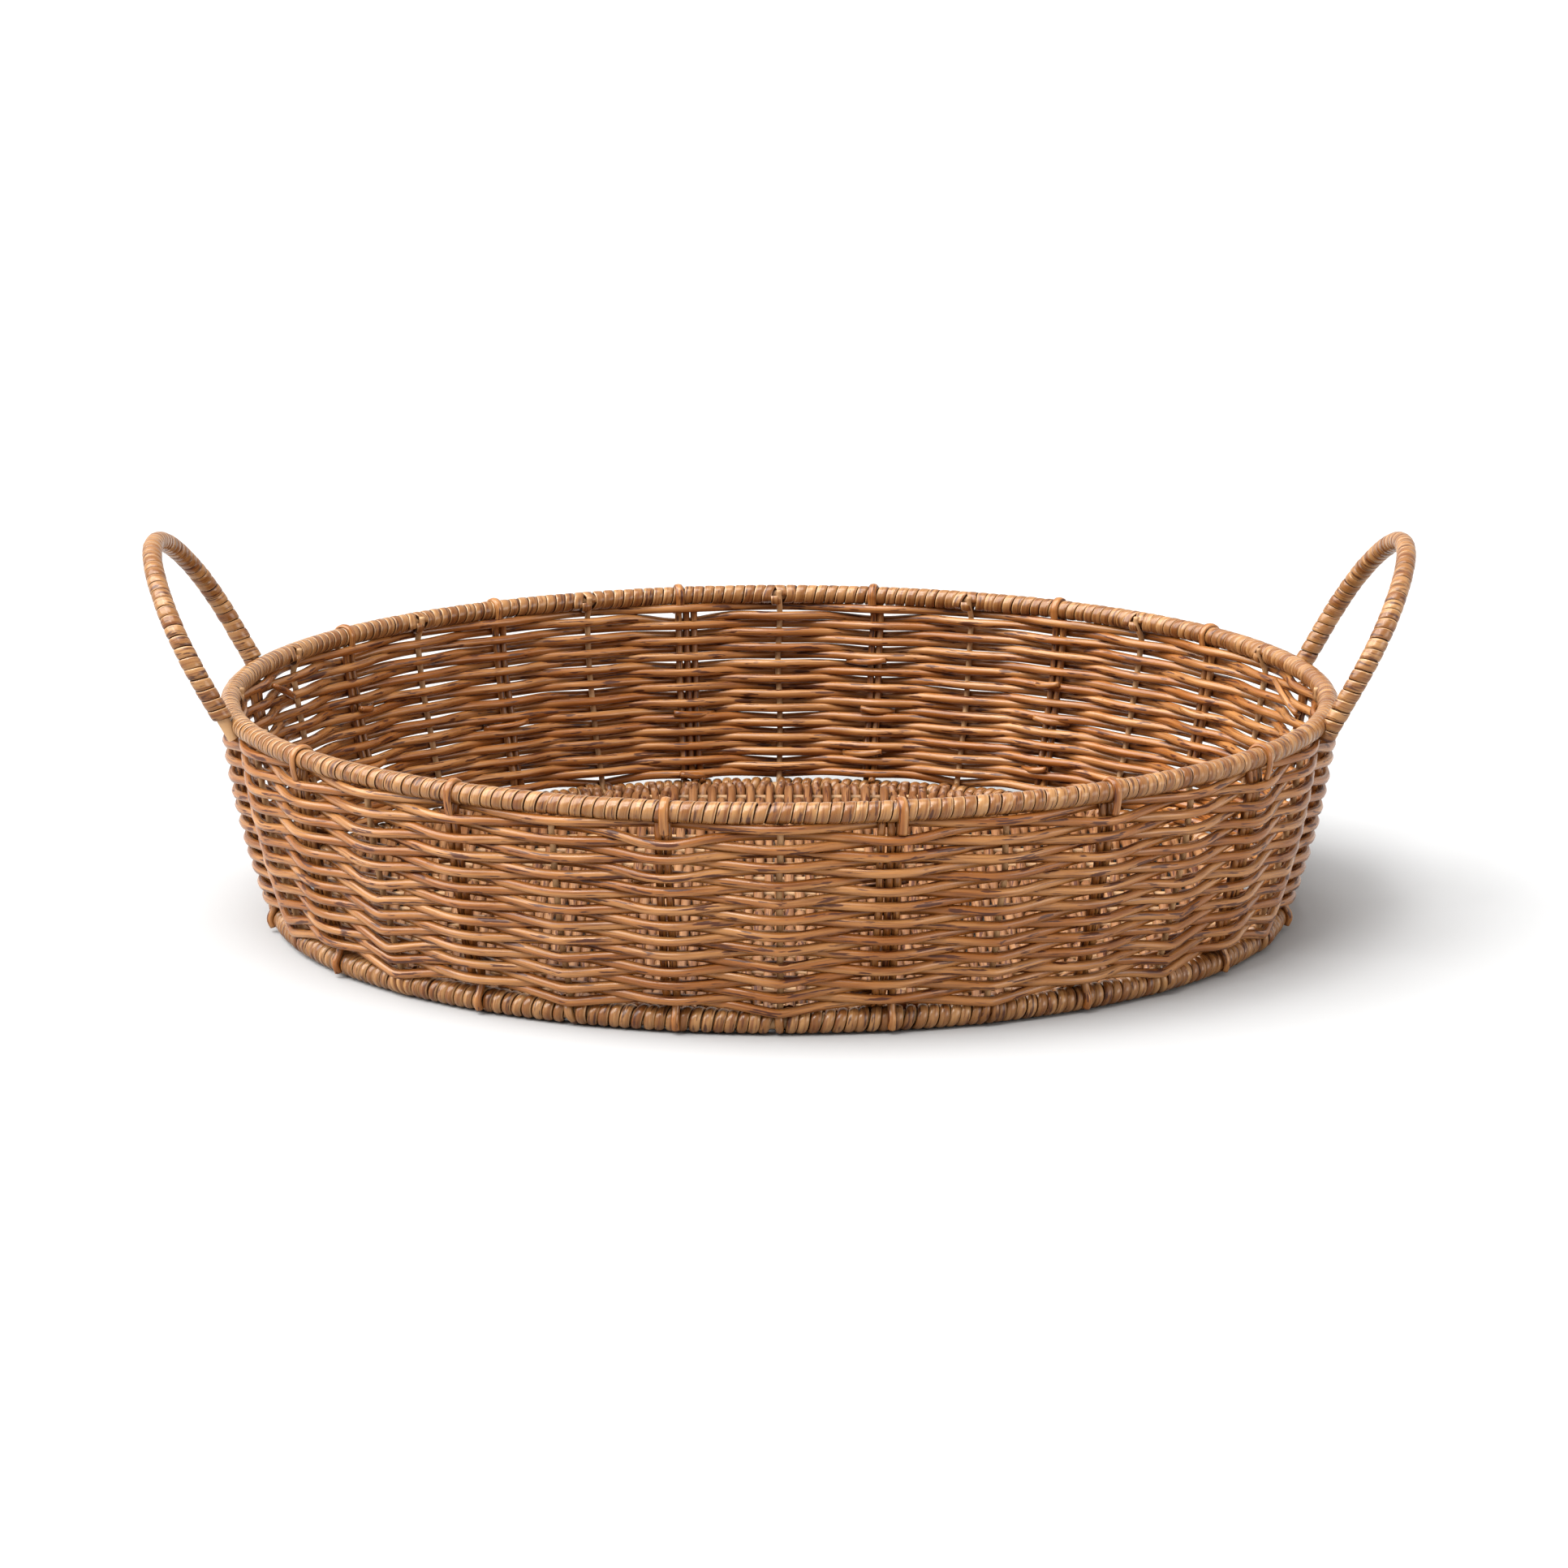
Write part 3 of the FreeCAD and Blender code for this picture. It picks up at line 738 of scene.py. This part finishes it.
ties = []
for number, angle in enumerate(pair_angles):
    if number in pairs_beside_feet:
        continue
    tie = bent_rod(rim_tie_route(angle), tie_rod, 5, shift=number * 0.9)
    flatten_tie(tie, angle, tie_width_share)
    aside = stake_aside * 0.9 + 0.4 * MM * wobble(number, 3.3)
    tie.data.transform(Matrix.Rotation(aside / rim_radius, 4, "Z"))
    ties.append(tie)
rim_ties = join(ties)
finish_piece(rim_ties, "rim_tie_rods", rod_cane)
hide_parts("rim_ties")


# ---- Base winding ----
# Half-round rattan wound round the base ring in lengths between the ribs, by hand and unevenly, so some
# turns bulge. The foot of each rib is covered by one or two loops of round rod. The basket stands on it.

base_pitch = 4.35 * MM
base_gap = 2.6 * MM
base_strip_gap = 0.1 * MM
bulging_turns = 3.2
usual_bulge = 0.6 * MM
big_bulges = {5: 1.8 * MM, 8: 2.2 * MM, 14: 3.6 * MM, 15: 3.0 * MM}
end_slant = 0.8 * MM
half_round = (
    (-0.5, 0.0), (-0.49, 0.35), (-0.43, 0.66), (-0.3, 0.88), (-0.1, 1.0),
    (0.1, 1.0), (0.3, 0.88), (0.43, 0.66), (0.49, 0.35), (0.5, 0.0),
)


def base_bend(number, turns):
    """The first turns after a rib bulge outwards. Underneath, all lie flat so that the basket stands."""
    uneven = hand_wound(number + 200, 0.3 * MM, 0.35 * MM, 0.32 * MM, 0.7)
    bulge = big_bulges.get(number, usual_bulge)

    def bend(turn, angle):
        moved, lifted = uneven(turn, angle)
        below = max(0.0, -math.sin(angle))
        after_rib = max(0.0, 1.0 - turn / bulging_turns)
        lifted += bulge * after_rib * max(0.0, math.cos(angle - 0.5))
        first = max(0.0, 1.0 - turn)
        last = max(0.0, turn - (turns - 1.0))
        moved += end_slant * (last - first) * math.sin(angle)
        return moved, lifted * (1 - below) - 0.1 * MM * below
    return bend


strips = []
for number, (start, end) in enumerate(ring_lengths(base_radius, base_gap)):
    length = (end - start) * base_radius
    turns = round(length / base_pitch)
    strips.append(wound_strip(
        ring_path(base_radius, base_height, start), length, turns,
        strip_profile(length / turns - base_strip_gap, base_wire + 0.1 * MM, base_wrap, half_round),
        base_bend(number, turns), shift=number * 0.713 + 20,
    ))

ribs_with_two_loops = (2, 5, 10, 13, 14)
loop_aside = 1.9 * MM
loop_points = 8
loop_face = 1.2 * MM


def loop_route(angle, aside, thickness, bulge, tilt):
    """Once round the wrapped base ring, further off it at the upper outer side."""
    route = []
    for step in range(loop_points):
        turn = step * TURN / loop_points
        reach = base_wrap - thickness / 2 + bulge * max(0.0, math.cos(turn - 0.6))
        place = angle + (aside + tilt * math.sin(turn)) / base_radius
        out_by = reach * math.cos(turn)
        up_by = reach * math.sin(turn)
        route.append(around(place, base_radius + out_by, base_height + up_by))
    return route


loops = random.Random(31)
for number in range(rib_count):
    for aside in (-loop_aside, loop_aside) if number in ribs_with_two_loops else (0.0,):
        thickness = loops.uniform(3.3, 3.9) * MM
        bulge = loops.uniform(0.6, 2.0) * MM
        tilt = loops.uniform(-1.2, 1.2) * MM
        route = loop_route(number * rib_step, aside, thickness, bulge, tilt)
        loop = bent_rod(route, thickness, 6, closed=True, shift=number * 0.3)
        for corner in loop.data.uv_layers[0].data:
            corner.uv.y = loop_face * math.cos(TURN * corner.uv.y)
        strips.append(loop)
base_winding = join(strips)
finish_piece(base_winding, "base_winding", strip_cane)
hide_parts("base_wrap", "base_ties")


# ---- Handle windings ----
# Flat strip wound round both handle wires, from one foot over the top to the other. The ends of each
# wire are bare below the winding and welded to the outside of the rim ring.

handle_half_width = 65.0 * MM
handle_rise = 71.3 * MM
handle_leg = 18.3 * MM
handle_shoulder = 45.0 * MM
shoulder_inset = handle_half_width - handle_shoulder
handle_lean = math.radians(29)
# How far above the rim ring's height each winding ends, at the front and at the back foot.
winding_ends = {"right": (-6.5 * MM, -1.0 * MM), "left": (3.5 * MM, 0.5 * MM)}
handle_wire = 2.5 * MM
handle_wrap = 4.05 * MM
handle_strip_gap = 0.05 * MM
handle_out = 221.3 * MM


def handle_arcs():
    """The top arc's radius, its centre's height, and the angle where it meets a shoulder arc."""
    drop = handle_leg - handle_rise
    top = (handle_shoulder ** 2 - shoulder_inset ** 2 - drop ** 2) / (2 * (drop + handle_shoulder))
    centre = handle_rise - top
    return top, centre, math.atan2(handle_leg - centre, shoulder_inset)


def handle_path(side, front_end, back_end):
    """Follows the handle wire from the winding's end at the front foot to the one at the back foot."""
    top, centre, meet = handle_arcs()
    shoulder_length = handle_shoulder * meet
    arch_length = top * (math.pi - 2 * meet)
    whole = 2 * (handle_leg + shoulder_length) + arch_length
    along = Vector((0, -1, 0))
    lean_up = Vector((side * math.sin(handle_lean), 0, math.cos(handle_lean)))
    lean_out = Vector((side * math.cos(handle_lean), 0, -math.sin(handle_lean)))

    def half(distance):
        """Place across, place up and direction, at a distance from the front foot."""
        if distance < handle_leg:
            return handle_half_width, distance, 0.0
        distance -= handle_leg
        if distance < shoulder_length:
            turned = distance / handle_shoulder
            across = shoulder_inset + handle_shoulder * math.cos(turned)
            return across, handle_leg + handle_shoulder * math.sin(turned), turned
        turned = meet + (distance - shoulder_length) / top
        return top * math.cos(turned), centre + top * math.sin(turned), turned

    def path(distance):
        distance += front_end
        across, up, turned = half(min(distance, whole - distance))
        if distance > whole / 2:
            across = -across
            turned = math.pi - turned
        middle = Vector((side * handle_out, 0, rim_height)) + along * across + lean_up * up
        outward = along * math.cos(turned) + lean_up * math.sin(turned)
        return middle, outward, lean_out
    return path, whole - front_end - back_end


for side, side_name in ((1, "right"), (-1, "left")):
    path, length = handle_path(side, *winding_ends[side_name])
    turns = round(length / strip_pitch)
    winding = wound_strip(
        path, length, turns,
        strip_profile(length / turns - handle_strip_gap, handle_wire + 0.05 * MM, handle_wrap),
        hand_wound(side + 300, 0.14 * MM, 0.12 * MM, 0.07 * MM, 0.7), shift=50 + side * 3,
    )
    finish_piece(winding, f"handle_winding_{side_name}", strip_cane)
    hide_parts(f"handle_wrap_{side_name}")


# ---- Studio ----
# A plain floor that the light turns white. One broad light comes from the upper left, with weaker ones
# from the front, the right and above, and the camera looks slightly down on the basket.

floor_drop = 0.4 * MM


def white_floor():
    material, shader, _ = new_material("white_floor")
    connect(shader, Base_Color=(0.41, 0.41, 0.41, 1), Roughness=0.9, Specular_IOR_Level=0.1)
    return material


bpy.ops.object.select_all(action="DESELECT")
bpy.ops.mesh.primitive_plane_add(size=60)
studio_floor = bpy.context.object
studio_floor.name = "studio_floor"
studio_floor.location.z = -floor_drop
studio_floor.data.materials.append(white_floor())

world = bpy.data.worlds.new("studio")
bpy.context.scene.world = world
world.use_nodes = True
background = world.node_tree.nodes["Background"]
background.inputs["Color"].default_value = (1, 1, 1, 1)
background.inputs["Strength"].default_value = 0.72

aim_height = 89.8 * MM
eye_distance = 2.391
eye_tilt = math.radians(11.475)
aimed_at = Vector((0, 0, aim_height))


def soft_light(name, towards, spread, power):
    """A wide, distant light that shines along a direction."""
    light = bpy.data.lights.new(name, "SUN")
    light.angle = spread
    light.energy = power
    lamp = bpy.data.objects.new(name, light)
    bpy.context.collection.objects.link(lamp)
    lamp.rotation_euler = Vector(towards).to_track_quat("-Z", "Y").to_euler()


soft_light("key_light", (0.70, 0.09, -0.71), math.radians(66), 4.3)
soft_light("front_light", (0.30, 0.58, -0.75), math.radians(16), 0.75)
soft_light("right_light", (-0.85, 0.45, -0.15), math.radians(40), 1.1)
soft_light("top_light", (0.05, 0.12, -0.99), math.radians(40), 1.8)

bpy.ops.object.camera_add(
    location=aimed_at + Vector((0, -math.cos(eye_tilt), math.sin(eye_tilt))) * eye_distance,
    rotation=(math.pi / 2 - eye_tilt, 0, 0),
)
camera = bpy.context.object
camera.data.sensor_width = 36
camera.data.lens = 133.4
camera.data.shift_x = 0.00305
camera.data.shift_y = -0.0573
bpy.context.scene.camera = camera
bpy.context.scene.view_settings.view_transform = "Standard"
bpy.context.scene.view_settings.look = "Medium High Contrast"
